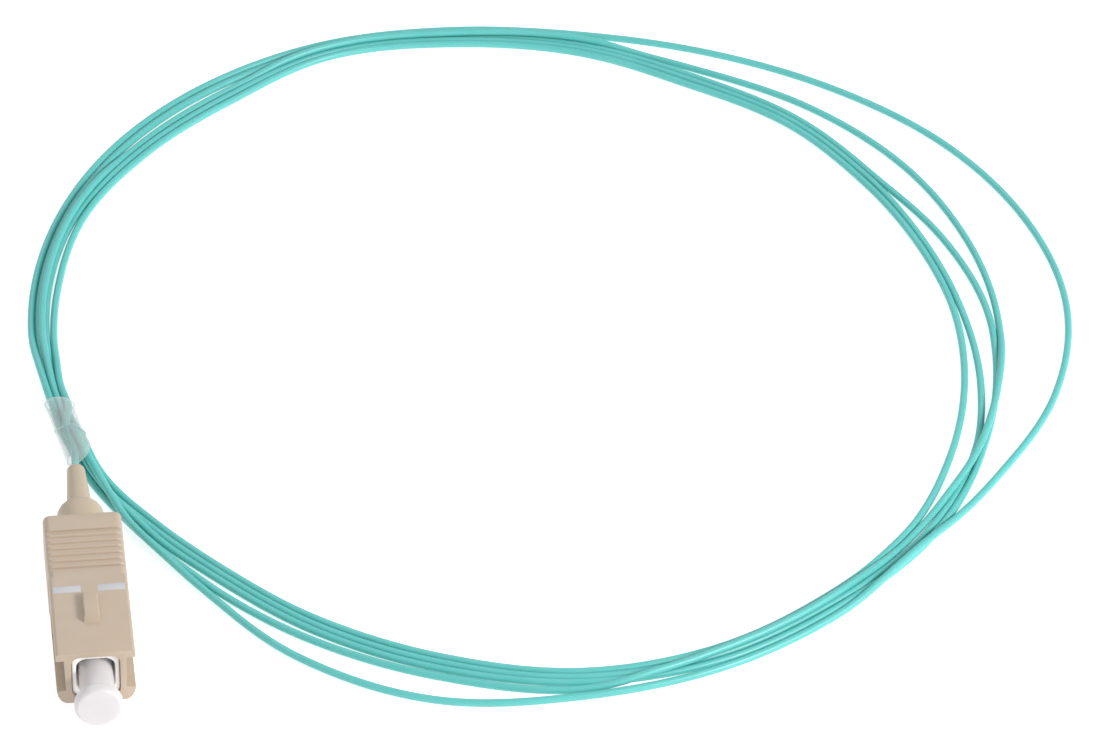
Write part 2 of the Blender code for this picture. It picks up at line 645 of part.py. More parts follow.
def build():
    for part in list(bpy.data.objects):
        bpy.data.objects.remove(part, do_unlink=True)
    beige = make_material("beige_pbt", (0.50, 0.42, 0.34), 0.45)
    white = make_material("white_pbt", (0.85, 0.86, 0.88), 0.4)
    zirconia = make_material("zirconia", (0.92, 0.92, 0.90), 0.15)
    nickel = make_material("nickel_plated_brass", (0.62, 0.60, 0.56), 0.3, 1.0)
    steel = make_material("spring_steel", (0.55, 0.56, 0.58), 0.3, 1.0)
    cap_plastic = make_material("cap_polyethylene", (0.88, 0.87, 0.88), 0.35)
    aqua = make_material("aqua_buffer", (0.16, 0.55, 0.52), 0.35)
    clear = make_material("clear_sleeve", (0.82, 0.86, 0.86), 0.2, 0.0, 0.45)

    make_grip_housing(beige)
    make_plug_frame(white)
    make_ferrule(zirconia)
    make_ferrule_flange(nickel)
    make_spring(steel)
    make_stop_ring(nickel)
    make_boot(beige)
    make_dust_cap(cap_plastic)
    make_fibre_lead(aqua)
    make_fibre_coil(aqua)
    make_loop("fibre_outer_loop", OUTER_LOOP, aqua)
    make_loop("fibre_lower_loop", LOWER_LOOP, aqua)
    make_tie_sleeve(clear)

    for part in bpy.data.objects:
        if part.type == "MESH" and not part.hide_render:
            shade_round(part)


build()
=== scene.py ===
"""Looks of the fibre optic pigtail: the laid fibre, the clear sleeve, the moulded shells and every finish.

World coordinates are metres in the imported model's frame: the connector lies along Y with its mating
end towards -Y, and the coil lies beside it on the table. Sizes below are written in millimetres.
"""
import math

import bmesh
import bpy
import numpy as np
from mathutils import Matrix, Vector


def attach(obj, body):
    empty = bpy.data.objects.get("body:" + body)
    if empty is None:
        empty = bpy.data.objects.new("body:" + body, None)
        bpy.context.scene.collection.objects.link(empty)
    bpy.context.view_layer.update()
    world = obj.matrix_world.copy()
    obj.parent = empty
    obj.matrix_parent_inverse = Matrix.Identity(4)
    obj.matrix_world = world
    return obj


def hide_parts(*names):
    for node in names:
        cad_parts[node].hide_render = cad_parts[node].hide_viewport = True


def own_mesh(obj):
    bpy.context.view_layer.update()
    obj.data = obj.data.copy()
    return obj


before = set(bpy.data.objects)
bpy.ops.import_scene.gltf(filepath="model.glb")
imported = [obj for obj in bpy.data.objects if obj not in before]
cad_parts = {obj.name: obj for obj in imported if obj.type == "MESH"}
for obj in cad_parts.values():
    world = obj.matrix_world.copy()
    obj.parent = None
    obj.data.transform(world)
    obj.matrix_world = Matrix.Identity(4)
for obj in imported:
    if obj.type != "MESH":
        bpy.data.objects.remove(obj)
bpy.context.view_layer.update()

MM = 0.001

# Camera, fitted to the housing's corners and the coil on the table
FRAME_WIDTH_PX = 1101
CAMERA_FOCAL_PX = 5500
CAMERA_ELEVATION = 39.402
CAMERA_YAW = 8.759
CAMERA_ROLL = 2.081
CAMERA_TARGET = (58.759, 40.9, 0.0)
CAMERA_DISTANCE = 670.573
SENSOR_WIDTH = 36.0
CAMERA_NEAREST = 10
CAMERA_FARTHEST = 10000

# Connector
AXIS_Z = 3.7
HOUSING_FRONT = -12.0
HOUSING_REAR = 12.0
HOUSING_HEIGHT = 7.4
NOSE_HALF_WIDTH = 4.5
GRIP_HALF_WIDTH = 4.55
GRIP_FRONT = 1.2
NOSE_TOP_RADIUS = 0.45
GRIP_TOP_RADIUS = 0.9
LOWER_CORNER_WIDTH = 1.25
LOWER_CORNER_HEIGHT = 2.2
POCKET_HALF_WIDTH = 2.76
POCKET_HALF_HEIGHT = 3.07
POCKET_RADIUS = 1.05
POCKET_REAR = 9.8
REAR_HOLE_RADIUS = 3.0
CHANNEL_REAR = -2.5
CHANNEL_FLOOR_X = 3.45
CHANNEL_LOW = 1.9
CHANNEL_HIGH = 6.4
SHELL_EDGE_ROUND = 0.3
CORNER_STEPS = 6
HOLE_SIDES = 60
OVERLAP = 0.05                      # how far two joined blocks, or two cutters, run into each other
PAST_FACE = 1.0                     # how far a cutter runs past the face that it cuts

# Polarity key
KEY_HALF_WIDTH = 0.9
KEY_TOP = 8.2
KEY_REAR = -2.5
KEY_FRONT = -6.5
KEY_NOSE = -6.85
KEY_ROUND = 0.22
KEY_ROUND_STEPS = 3
KEY_SUNK = 0.2                      # how far the key's block reaches into the top face

# Grip ribs in their recessed panel, and the two seating marks
RIB_COUNT = 6
RIB_PITCH = 1.07
RIB_WIDTH = 0.48
RIB_HEIGHT = 0.25
RIB_END_ANGLE = 35.0               # how far round the edge the ribs run, in degrees from the side
TOP_LINE_STEPS = 8
BOTTOM_RIB_REACH = 3.5
BOTTOM_RIB_GAP = 0.05               # between a lower rib's end and the end of its panel
BAR_SIDES = 20                      # sides of the section of a rib and of the spring's wire
PANEL_REAR = 9.35
PANEL_FRONT = 2.43
PANEL_SIDE_LIFT = 0.1               # how far the panel's cutter rises beyond the grip's sides
MARK_FRONT = -1.55
MARK_REAR = -0.45
MARK_INNER = 0.95
MARK_OUTER = 4.12
MARK_DEPTH = 0.15
MARK_PROUD = 0.015
MARK_ROUND = 0.012

# Plug frame
PLUG_HALF_WIDTH = 2.7
PLUG_HALF_HEIGHT = 3.0
PLUG_FRONT = -11.6
PLUG_REAR = 5.0
PLUG_CORNER = 1.0
PLUG_MOUTH_HALF_WIDTH = 2.2
PLUG_MOUTH_HALF_HEIGHT = 2.4
PLUG_MOUTH_CORNER = 1.2
PLUG_WEB_FRONT = -4.2
PLUG_WEB_REAR = -3.0
PLUG_WEB_HOLE_RADIUS = 1.55
PLUG_CAVITY_RADIUS = 2.3
PLUG_EDGE_ROUND = 0.15

# Spring behind the ferrule's flange, hidden in the plug frame
SPRING_FRONT = -0.53
SPRING_REAR = 3.13
SPRING_RADIUS = 1.62
SPRING_WIRE = 0.34
SPRING_TURNS = 4
SPRING_POINTS_PER_TURN = 24

# Boot
COLLAR_FRONT = 12.3
COLLAR_REAR = 17.0
COLLAR_RADIUS = 2.75
COLLAR_REAR_ROUND = 1.3
BOOT_TIP = 24.2
BOOT_BASE_RADIUS = 1.5
BOOT_TIP_RADIUS = 1.06
BOOT_SOCKET_RADIUS = 1.55
BOOT_SOCKET_REAR = 16.4
FIBRE_HOLE_RADIUS = 0.75
COLLAR_FRONT_ROUND = 0.6
BOOT_BASE_ROUND = 0.35
BOOT_TIP_ROUND = 0.2
BOOT_HOLE_ROUND = 0.1
BOOT_SOCKET_ROUND = 0.15

# Dust cap
CAP_FRONT = -17.3
CAP_HEAD_REAR = -15.7
CAP_REAR = -6.1
CAP_HEAD_RADIUS = 2.75
CAP_BARREL_RADIUS = 1.95
CAP_FLARE = 0.35
CAP_BORE_RADIUS = 1.55
CAP_BORE_FRONT = -12.4
CAP_HEAD_ROUND = 0.5
CAP_EDGE_ROUND = 0.12
CAP_FLARE_ROUND = 0.2
CAP_MOUTH_ROUND = 0.08
CAP_BORE_ROUND = 0.3

# Buffered fibre in five turns. Each row is an angle round the coil's middle and the radius at
# which the first to the fifth turn passes it. The radii were read on the photograph, and another
# program interpolated them and wrote out these rows. Some rows were changed afterwards.
FIBRE_DIAMETER = 0.9
COIL_MIDDLE = (55.2, 47.9)
TURN_ROWS = (
    (180, (56.3, 57.0, 57.8, 57.4, 58.5)),
    (165, (57.0, 58.2, 59.1, 58.5, 59.9)),
    (150, (58.6, 59.6, 60.6, 59.9, 61.6)),
    (135, (59.2, 60.0, 62.2, 60.9, 63.3)),
    (120, (60.0, 61.0, 63.4, 62.0, 64.6)),
    (105, (62.6, 63.3, 63.9, 63.6, 65.2)),
    (90, (61.5, 62.3, 63.0, 62.8, 64.5)),
    (75, (60.2, 61.0, 61.7, 62.2, 64.1)),
    (60, (57.6, 58.6, 59.5, 61.1, 65.2)),
    (45, (57.2, 57.9, 58.6, 61.7, 67.0)),
    (30, (55.4, 56.4, 57.1, 61.7, 68.9)),
    (15, (54.9, 55.3, 58.0, 60.9, 69.6)),
    (0, (54.9, 55.9, 59.0, 60.2, 69.1)),
    (-15, (55.4, 57.4, 59.3, 59.5, 66.5)),
    (-30, (56.5, 59.3, 59.8, 59.3, 62.9)),
    (-45, (58.3, 60.3, 60.9, 59.0, 61.3)),
    (-60, (59.3, 60.5, 61.5, 60.3, 62.4)),
    (-75, (60.7, 61.8, 62.8, 61.9, 63.9)),
    (-90, (60.9, 61.9, 62.7, 63.9, 65.0)),
    (-105, (59.0, 60.0, 61.0, 62.3, 66.2)),
    (-120, (57.1, 58.1, 59.0, 60.5, 63.8)),
    (-135, (55.6, 56.3, 57.0, 58.7, 59.5)),
    (-150, (55.6, 56.4, 57.1, 57.7, 58.1)),
)
ROW_STEP = 15
SLEEVE_ROW = 195
TURN_COUNT = 5
SECTION_STEP = 0.5                  # degrees between the sections that are settled
TABLE_CLEARANCE = 0.01
TURNS_START = 197.5                 # angle at which the first turn's first section lies, in the sleeve
TAIL_ANGLE = 2.0                    # how far the bare end runs on inside the sleeve
BURIED_START = 1.0                  # the stretch inside the connector, up to the cord's own start
BURIED_GAP = 0.02                   # between that stretch and the cord
LEAD_START = 19.0
LEAD_STEPS = 6
LEAD_BEND_STEPS = 12
LEAD_HANDLE = 0.4
SECTIONS_PER_POINT = 2
FIBRE_BEVEL_RESOLUTION = 5

# How the turns settle on the table and on each other
SETTLE_STEPS = 700
SETTLE_KEEP = 0.93                  # share of the drift from the rows that is left after each step
LAYER_RISE = 0.3                    # how much higher each next turn starts
HELD_ABOVE = 0.999                  # hold at which a section is fixed in the sleeve
SINK_STEP = 0.02                    # how far the strands sink in one step, times a falling factor
SINK_FACTOR = 1.3                   # that factor at the first step; it falls by 1
BEND_PASSES = 4
BEND_SHARE = 0.5                    # share of a section's kink that each pass takes away
PUSH_ASIDE = 0.2
PUSH_UP = 0.5
CLIMB = 0.3                         # upward lean added where two strands lie nearly in one place
TINY = 1e-6

# Where the turns are held in the sleeve: its angles, and the bundle's radius and height there,
# at its upper and its lower end
HOLD_UPPER = 188.9
HOLD_LOWER = 197.5
BUNDLE_UPPER = (56.95, 1.8)
BUNDLE_LOWER = (57.45, 2.62)
HOLD_EASE = 15.0
# Where each of the six passes lies in the sleeve: its reach from the bundle's middle, and its
# turn round that middle at the lower and at the upper end
SLEEVE_SLOTS = (
    (0.94, 35, 160), (1.04, 186, 228), (0.94, 251, 297),
    (0.0, 0, 0), (0.94, 323, 370), (0.94, 107, 107),
)

# Clear sleeve: a straight axis from the table up to the boot, in two short tubes. Each cut is a
# middle place along the axis, how far it leans from that, and the direction in which it leans
SLEEVE_START = (-1.17, 39.1, 1.85)
SLEEVE_END = (1.11, 24.73, 3.25)
SLEEVE_RADIUS = 1.75
SLEEVE_WALL = 0.26
SLEEVE_CUTS = (
    ((0.6, 1.06, 130.0), (6.53, 1.7, 125.0)),
    ((6.67, 1.7, 125.0), (11.2, 4.0, 60.0)),
)
SLEEVE_SIDES = 48
SLEEVE_RINGS = 14
SLEEVE_LIP = 0.05
SLEEVE_LIP_POWER = 8                # how near its ends the tube widens to its lip

# Light
TABLE_GLOW = 0.7
TABLE_REACH = 1500
ROOM_GLOW = 0.62
# Each lamp's name, place, aim, size, power and colour
LAMPS = (
    ("key_lamp", (500, -340, 400), (30, 20, 0), 220, 4.0, "#FFFFFF"),
    ("fill_lamp", (-420, -120, 300), (30, 40, 0), 400, 0.1, "#FFFFFF"),
    ("rear_lamp", (-150, 620, 560), (40, 40, 0), 380, 0.9, "#EEF4FF"),
)

# Finish
ROUGHNESS_DRIFT = 0.04
WAVES_PER_UNIT = 0.314              # a wave texture's scale times its period
METAL_GLOSS_DRIFT = 0.12
GROOVE_WOBBLE = 0.6
GROOVE_DEPTH = 0.002
FILLET_STEPS = 6
TURNED_SIDES = 64
MERGE_DISTANCE = 0.001
BEVEL_ANGLE = 38.0
SMOOTH_ANGLE = 32.0
ROUND_PIECE_ANGLE = 50.0


def linear(colour):
    """Linear RGBA of an sRGB hex colour."""
    channels = []
    for start in (1, 3, 5):
        value = int(colour[start:start + 2], 16) / 255
        channels.append(value / 12.92 if value <= 0.04045 else ((value + 0.055) / 1.055) ** 2.4)
    return (*channels, 1.0)


def add_node(tree, kind, inputs=None, **settings):
    """Add a node, set its properties, and set or link its inputs."""
    made = tree.nodes.new(kind)
    for name, value in settings.items():
        setattr(made, name, value)
    for name, value in (inputs or {}).items():
        if isinstance(value, bpy.types.NodeSocket):
            tree.links.new(value, made.inputs[name])
        else:
            made.inputs[name].default_value = value
    return made


def noise_per_mm(grain):
    """Noise scale at which one cell of the pattern is this many millimetres wide."""
    return 1 / (grain * MM)


def moulded(name, light, dark, roughness, grain, grain_depth, drift_size=3.0, **shader_values):
    """A moulded or extruded plastic: a slow drift between two tones, and a fine surface grain."""
    material = bpy.data.materials.new(name)
    material.use_nodes = True
    tree = material.node_tree
    shader = tree.nodes["Principled BSDF"]
    place = add_node(tree, "ShaderNodeTexCoord").outputs["Object"]
    drift = add_node(tree, "ShaderNodeTexNoise", {
        "Vector": place, "Scale": noise_per_mm(drift_size), "Detail": 3.0}).outputs["Fac"]
    tones = {0: drift, 6: linear(light), 7: linear(dark)}
    tone = add_node(tree, "ShaderNodeMix", tones, data_type="RGBA")
    tree.links.new(tone.outputs[2], shader.inputs["Base Color"])
    fine = add_node(tree, "ShaderNodeTexNoise", {
        "Vector": place, "Scale": noise_per_mm(grain), "Detail": 2.0})
    bump = add_node(tree, "ShaderNodeBump", {
        "Height": fine.outputs["Fac"], "Distance": grain_depth * MM})
    tree.links.new(bump.outputs["Normal"], shader.inputs["Normal"])
    gloss = add_node(tree, "ShaderNodeMapRange", {
        "Value": drift, "To Min": roughness - ROUGHNESS_DRIFT, "To Max": roughness + ROUGHNESS_DRIFT})
    tree.links.new(gloss.outputs["Result"], shader.inputs["Roughness"])
    for socket, value in shader_values.items():
        shader.inputs[socket.replace("_", " ")].default_value = value
    return material


def beige_pbt():
    """Housing: glass-free PBT from a finely spark-eroded mould, so it is satin with a faint grain."""
    return moulded("moulded_beige_pbt", "#BEAD9A", "#B7A591", 0.42, 0.16, 0.006, Specular_IOR_Level=0.45)


def beige_elastomer():
    """Boot: soft polyester elastomer, duller than the housing and a touch greener."""
    return moulded("beige_boot_elastomer", "#BEAF9A", "#B6A791", 0.55, 0.22, 0.008)


def white_pbt():
    """Plug frame: white PBT from a polished mould, a little bluish in its own shade."""
    return moulded("moulded_white_pbt", "#FDFBF8", "#FAF8F4", 0.32, 0.3, 0.002)


def printed_white():
    """Seating marks: white ink filled into the recess, flat and slightly rough."""
    return moulded("seating_mark_ink", "#C6C6C9", "#BBBBBF", 0.5, 0.12, 0.004)


def milky_polyethylene():
    """Dust cap: unfilled low-density polyethylene, waxy and cloudy, so light spreads inside it."""
    return moulded(
        "milky_polyethylene", "#E0DDDD", "#D8D4D5", 0.38, 0.35, 0.004, Subsurface_Weight=0.4,
        Subsurface_Radius=(1.6 * MM, 1.6 * MM, 1.7 * MM), Subsurface_Scale=1.0,
        Transmission_Weight=0.12, IOR=1.51)


def aqua_buffer():
    """Fibre: tight buffer of soft PVC extruded on the glass, smooth and half glossy."""
    return moulded(
        "aqua_pvc_buffer", "#66C2BE", "#59B6B1", 0.4, 0.5, 0.003, 6.0, Subsurface_Weight=0.4,
        Subsurface_Radius=(0.1 * MM, 0.5 * MM, 0.45 * MM), Subsurface_Scale=1.0, Specular_IOR_Level=0.55)


def clear_sleeve():
    """Sleeve: thin natural polyethylene tube, see-through but hazy, with a soft shine."""
    return moulded(
        "clear_polyethylene_tube", "#D8DEDC", "#CDD5D3", 0.3, 0.8, 0.01, 1.2, Alpha=0.28, IOR=1.5)


def painted_rim_highlight():
    """Sleeve's cut ends: a painted highlight, lighter and more opaque than the tube, standing for the
    whitish lines of light along the rims.
    """
    return moulded("cut_polyethylene_edge", "#E4F1EF", "#D6E6E4", 0.45, 0.2, 0.01, 0.6, Alpha=0.7, IOR=1.5)


def ground_zirconia():
    """Ferrule: sintered zirconia, centreless ground and polished, dense and very smooth."""
    return moulded("ground_zirconia", "#F3F2EC", "#EFEEE6", 0.12, 0.08, 0.0005, IOR=2.1)


def turned_metal(name, colour, roughness, groove):
    """A turned or drawn metal: fine rings across the axis from the tool or the die."""
    material = bpy.data.materials.new(name)
    material.use_nodes = True
    tree = material.node_tree
    shader = tree.nodes["Principled BSDF"]
    shader.inputs["Base Color"].default_value = linear(colour)
    shader.inputs["Metallic"].default_value = 1.0
    place = add_node(tree, "ShaderNodeTexCoord").outputs["Object"]
    rings = add_node(tree, "ShaderNodeTexWave", {
        "Vector": place, "Scale": WAVES_PER_UNIT / (groove * MM), "Distortion": GROOVE_WOBBLE,
        "Detail": 1.0}, bands_direction="Y")
    bump = add_node(tree, "ShaderNodeBump", {
        "Height": rings.outputs["Fac"], "Distance": GROOVE_DEPTH * MM})
    tree.links.new(bump.outputs["Normal"], shader.inputs["Normal"])
    gloss = add_node(tree, "ShaderNodeMapRange", {
        "Value": rings.outputs["Fac"], "To Min": roughness,
        "To Max": roughness + METAL_GLOSS_DRIFT})
    tree.links.new(gloss.outputs["Result"], shader.inputs["Roughness"])
    return material


def link_piece(name, mesh, material=None):
    """Put a mesh in the scene as a piece, with its place in the mesh."""
    piece = bpy.data.objects.new(name, mesh)
    bpy.context.scene.collection.objects.link(piece)
    if material:
        mesh.materials.clear()
        mesh.materials.append(material)
    return piece


def mesh_of(name, bm):
    """Close a bmesh into a mesh with clean outward normals."""
    bmesh.ops.remove_doubles(bm, verts=bm.verts, dist=MERGE_DISTANCE * MM)
    bmesh.ops.recalc_face_normals(bm, faces=bm.faces)
    mesh = bpy.data.meshes.new(name)
    bm.to_mesh(mesh)
    bm.free()
    return mesh


def applied(piece):
    """Turn a piece's modifiers into its plain mesh."""
    view = bpy.context.evaluated_depsgraph_get()
    mesh = bpy.data.meshes.new_from_object(piece.evaluated_get(view), depsgraph=view)
    piece.modifiers.clear()
    piece.data = mesh
    return piece


def smooth(piece, angle=SMOOTH_ANGLE):
    """Smooth shading that keeps the real corners."""
    piece.data.shade_smooth()
    piece.data.set_sharp_from_angle(angle=math.radians(angle))
    return piece


def arc(centre, radii, start, end, steps):
    """Points on an elliptical arc, angles in degrees."""
    points = []
    for step in range(steps + 1):
        turn = math.radians(start + (end - start) * step / steps)
        points.append((centre[0] + radii[0] * math.cos(turn), centre[1] + radii[1] * math.sin(turn)))
    return points


def housing_section(half_width, top_radius):
    """The housing's section in (x, z): round above, wider round corners below."""
    lower_corner = (LOWER_CORNER_WIDTH, LOWER_CORNER_HEIGHT)
    lower_centre = (half_width - LOWER_CORNER_WIDTH, LOWER_CORNER_HEIGHT)
    upper_centre = (half_width - top_radius, HOUSING_HEIGHT - top_radius)
    lower = arc(lower_centre, lower_corner, -90, 0, CORNER_STEPS)
    upper = arc(upper_centre, (top_radius, top_radius), 0, 90, CORNER_STEPS)
    right = lower + upper
    return right + [(-x, z) for x, z in reversed(right)]


def rounded_rectangle(half_width, half_height, radius):
    """A rectangle with round corners in (x, z), round the connector's axis."""
    across, up = half_width - radius, half_height - radius
    points = []
    for quarter, (side, level) in enumerate(((1, 1), (-1, 1), (-1, -1), (1, -1))):
        centre = (side * across, AXIS_Z + level * up)
        points += arc(centre, (radius, radius), 90 * quarter, 90 * quarter + 90, CORNER_STEPS)
    return points


def hole_outline(radius):
    """A round hole's outline in (x, z), on the connector's axis."""
    return arc((0, AXIS_Z), (radius, radius), 0, 360 - 360 / HOLE_SIDES, HOLE_SIDES - 1)


def prism(name, section, front, rear):
    """A section of (x, z) points run along Y."""
    bm = bmesh.new()
    ends = [[bm.verts.new((x * MM, y * MM, z * MM)) for x, z in section] for y in (front, rear)]
    bm.faces.new(ends[0])
    bm.faces.new(ends[1])
    for index in range(len(section)):
        after = (index + 1) % len(section)
        bm.faces.new((ends[0][index], ends[0][after], ends[1][after], ends[1][index]))
    return mesh_of(name, bm)


def box(name, low, high):
    """A box between two corners."""
    section = [(low[0], low[2]), (high[0], low[2]), (high[0], high[2]), (low[0], high[2])]
    return prism(name, section, low[1], high[1])


def rounded_profile(corners):
    """A closed (y, radius) outline whose corners (y, radius, fillet) are rounded by arcs of that fillet."""
    points = []
    count = len(corners)
    for index, (y, reach, fillet) in enumerate(corners):
        here = Vector((y, reach))
        if fillet <= 0:
            points.append((y, reach))
            continue
        before = (Vector(corners[index - 1][:2]) - here).normalized()
        after = (Vector(corners[(index + 1) % count][:2]) - here).normalized()
        half = before.angle(after) / 2
        centre = here + (before + after).normalized() * (fillet / math.sin(half))
        first = here + before * (fillet / math.tan(half)) - centre
        last = here + after * (fillet / math.tan(half)) - centre
        start = math.atan2(first.y, first.x)
        sweep = (math.atan2(last.y, last.x) - start + math.pi) % (2 * math.pi) - math.pi
        for step in range(FILLET_STEPS + 1):
            turn = start + sweep * step / FILLET_STEPS
            points.append((centre.x + fillet * math.cos(turn), centre.y + fillet * math.sin(turn)))
    return points


def turned(name, corners, sides=TURNED_SIDES):
    """A piece turned round the connector's axis from a closed outline of (y, radius, fillet) corners."""
    bm = bmesh.new()
    rings = []
    for y, reach in rounded_profile(corners):
        if reach <= 0:
            rings.append([bm.verts.new((0.0, y * MM, AXIS_Z * MM))])
            continue
        ring = []
        for side in range(sides):
            turn = 2 * math.pi * side / sides
            ring.append(bm.verts.new((
                reach * math.cos(turn) * MM, y * MM, (AXIS_Z + reach * math.sin(turn)) * MM)))
        rings.append(ring)
    for index, ring in enumerate(rings):
        following = rings[(index + 1) % len(rings)]
        if len(ring) == 1 and len(following) == 1:
            continue
        for side in range(sides):
            after = (side + 1) % sides
            if len(ring) == 1:
                bm.faces.new((ring[0], following[side], following[after]))
            elif len(following) == 1:
                bm.faces.new((ring[side], ring[after], following[0]))
            else:
                bm.faces.new((ring[side], ring[after], following[after], following[side]))
    return mesh_of(name, bm)


def cut(piece, operation, mesh):
    """Join a helper mesh onto a piece or cut it away."""
    helper = link_piece(mesh.name, mesh)
    modifier = piece.modifiers.new(mesh.name, "BOOLEAN")
    modifier.operation = operation
    modifier.solver = "EXACT"
    modifier.object = helper
    return helper


def shaped(piece, steps):
    """Apply a list of (operation, mesh) steps to a piece and remove the helpers."""
    helpers = [cut(piece, operation, mesh) for operation, mesh in steps]
    applied(piece)
    for helper in helpers:
        bpy.data.objects.remove(helper, do_unlink=True)
    return piece


def soften(piece, width, segments=3, angle=BEVEL_ANGLE):
    """Round the edges as the mould does, with a bevel of that width in millimetres."""
    bevel = piece.modifiers.new("mould_radius", "BEVEL")
    bevel.width = width * MM
    bevel.segments = segments
    bevel.limit_method = "ANGLE"
    bevel.angle_limit = math.radians(angle)
    bevel.use_clamp_overlap = True
    applied(piece)
    return smooth(piece)


def key_mesh():
    """Polarity key: a low block with round upper corners that leans back a little at its nose."""
    inner = KEY_HALF_WIDTH - KEY_ROUND
    section = [(KEY_HALF_WIDTH, HOUSING_HEIGHT - KEY_SUNK)]
    section += arc((inner, KEY_TOP - KEY_ROUND), (KEY_ROUND, KEY_ROUND), 0, 90, KEY_ROUND_STEPS)
    section += arc((-inner, KEY_TOP - KEY_ROUND), (KEY_ROUND, KEY_ROUND), 90, 180, KEY_ROUND_STEPS)
    section += [(-KEY_HALF_WIDTH, HOUSING_HEIGHT - KEY_SUNK)]
    mesh = prism("key", section, KEY_NOSE, KEY_REAR)
    for vertex in mesh.vertices:
        if vertex.co.y < (KEY_NOSE + KEY_REAR) / 2 * MM:
            share = (vertex.co.z / MM - HOUSING_HEIGHT) / (KEY_TOP - HOUSING_HEIGHT)
            vertex.co.y += share * (KEY_FRONT - KEY_NOSE) * MM
    return mesh


def top_line(inset, edge_inset):
    """Line under the grip's top face, from side to side.

    It lies one depth under the flat, and another at the line's two ends.
    """
    flat = GRIP_HALF_WIDTH - GRIP_TOP_RADIUS
    right = []
    for step in range(TOP_LINE_STEPS + 1):
        turn = RIB_END_ANGLE + (90 - RIB_END_ANGLE) * step / TOP_LINE_STEPS
        depth = edge_inset + (inset - edge_inset) * math.sin(math.pi / 2 * step / TOP_LINE_STEPS)
        reach = GRIP_TOP_RADIUS - depth
        right += arc((flat, HOUSING_HEIGHT - GRIP_TOP_RADIUS), (reach, reach), turn, turn, 1)[:1]
    return right + [(-x, z) for x, z in reversed(right)]


def panel_outline():
    """What is cut off above the sunk grip panel."""
    floor = top_line(RIB_HEIGHT, 0.0)
    side = GRIP_HALF_WIDTH + PAST_FACE
    low = floor[0][1] + PANEL_SIDE_LIFT
    high = HOUSING_HEIGHT + PAST_FACE
    return floor + [(-side, low), (-side, high), (side, high), (side, low)]


def make_grip_shell(material):
    """Outer shell: two sections joined at the step, with pocket, channels, key and sunk grip panel."""
    nose_section = housing_section(NOSE_HALF_WIDTH, NOSE_TOP_RADIUS)
    grip_section = housing_section(GRIP_HALF_WIDTH, GRIP_TOP_RADIUS)
    pocket = rounded_rectangle(POCKET_HALF_WIDTH, POCKET_HALF_HEIGHT, POCKET_RADIUS)
    rear_hole = hole_outline(REAR_HOLE_RADIUS)
    past_front = HOUSING_FRONT - PAST_FACE
    nose = prism("nose", nose_section, HOUSING_FRONT, GRIP_FRONT + OVERLAP)
    piece = link_piece("grip_shell", nose, material)
    steps = [
        ("UNION", prism("grip", grip_section, GRIP_FRONT, HOUSING_REAR)),
        ("UNION", key_mesh()),
        ("DIFFERENCE", prism("pocket", pocket, past_front, POCKET_REAR)),
        ("DIFFERENCE", prism("rear_hole", rear_hole, POCKET_REAR - OVERLAP, HOUSING_REAR + PAST_FACE)),
        ("DIFFERENCE", prism("panel", panel_outline(), PANEL_FRONT, PANEL_REAR)),
        ("DIFFERENCE", box(
            "bottom_panel", (-BOTTOM_RIB_REACH, PANEL_FRONT, -PAST_FACE),
            (BOTTOM_RIB_REACH, PANEL_REAR, RIB_HEIGHT))),
    ]
    for side in (-1, 1):
        left, right = sorted((side * CHANNEL_FLOOR_X, side * (NOSE_HALF_WIDTH + PAST_FACE)))
        steps.append(("DIFFERENCE", box(
            f"channel_{side}", (left, past_front, CHANNEL_LOW), (right, CHANNEL_REAR, CHANNEL_HIGH))))
    shaped(piece, steps)
    return soften(piece, SHELL_EDGE_ROUND)


def sweep_tree():
    """Geometry Nodes: sweep an oval bar along each line of a mesh and repeat it backwards along Y."""
    tree = bpy.data.node_groups.new("bars_across_housing", "GeometryNodeTree")
    sockets = {}
    for name, kind in (
            ("Geometry", "NodeSocketGeometry"), ("Bar Count", "NodeSocketInt"),
            ("Bar Pitch", "NodeSocketFloat"), ("Bar Width", "NodeSocketFloat"),
            ("Bar Height", "NodeSocketFloat"), ("Finish", "NodeSocketMaterial")):
        sockets[name] = tree.interface.new_socket(name, in_out="INPUT", socket_type=kind).identifier
    tree.interface.new_socket("Geometry", in_out="OUTPUT", socket_type="NodeSocketGeometry")
    given = add_node(tree, "NodeGroupInput").outputs
    line = add_node(tree, "GeometryNodeMeshToCurve", {"Mesh": given["Geometry"]})
    circle = add_node(tree, "GeometryNodeCurvePrimitiveCircle", {
        "Resolution": BAR_SIDES, "Radius": 1.0})
    half_width = add_node(tree, "ShaderNodeMath", {0: given["Bar Width"], 1: 0.5}, operation="MULTIPLY")
    oval = add_node(tree, "ShaderNodeCombineXYZ", {
        "X": half_width.outputs[0], "Y": given["Bar Height"], "Z": 1.0})
    section = add_node(tree, "GeometryNodeTransform", {
        "Geometry": circle.outputs["Curve"], "Scale": oval.outputs["Vector"]})
    bar = add_node(tree, "GeometryNodeCurveToMesh", {
        "Curve": line.outputs["Curve"], "Profile Curve": section.outputs["Geometry"], "Fill Caps": True})
    step = add_node(tree, "ShaderNodeCombineXYZ", {"Y": given["Bar Pitch"]})
    places = add_node(tree, "GeometryNodeMeshLine", {
        "Count": given["Bar Count"], "Offset": step.outputs["Vector"]}, mode="OFFSET")
    bars = add_node(tree, "GeometryNodeInstanceOnPoints", {
        "Points": places.outputs["Mesh"], "Instance": bar.outputs["Mesh"]})
    whole = add_node(tree, "GeometryNodeRealizeInstances", {"Geometry": bars.outputs["Instances"]})
    finish = add_node(tree, "GeometryNodeSetMaterial", {
        "Geometry": whole.outputs["Geometry"], "Material": given["Finish"]})
    add_node(tree, "NodeGroupOutput", {"Geometry": finish.outputs["Geometry"]})
    return tree, sockets


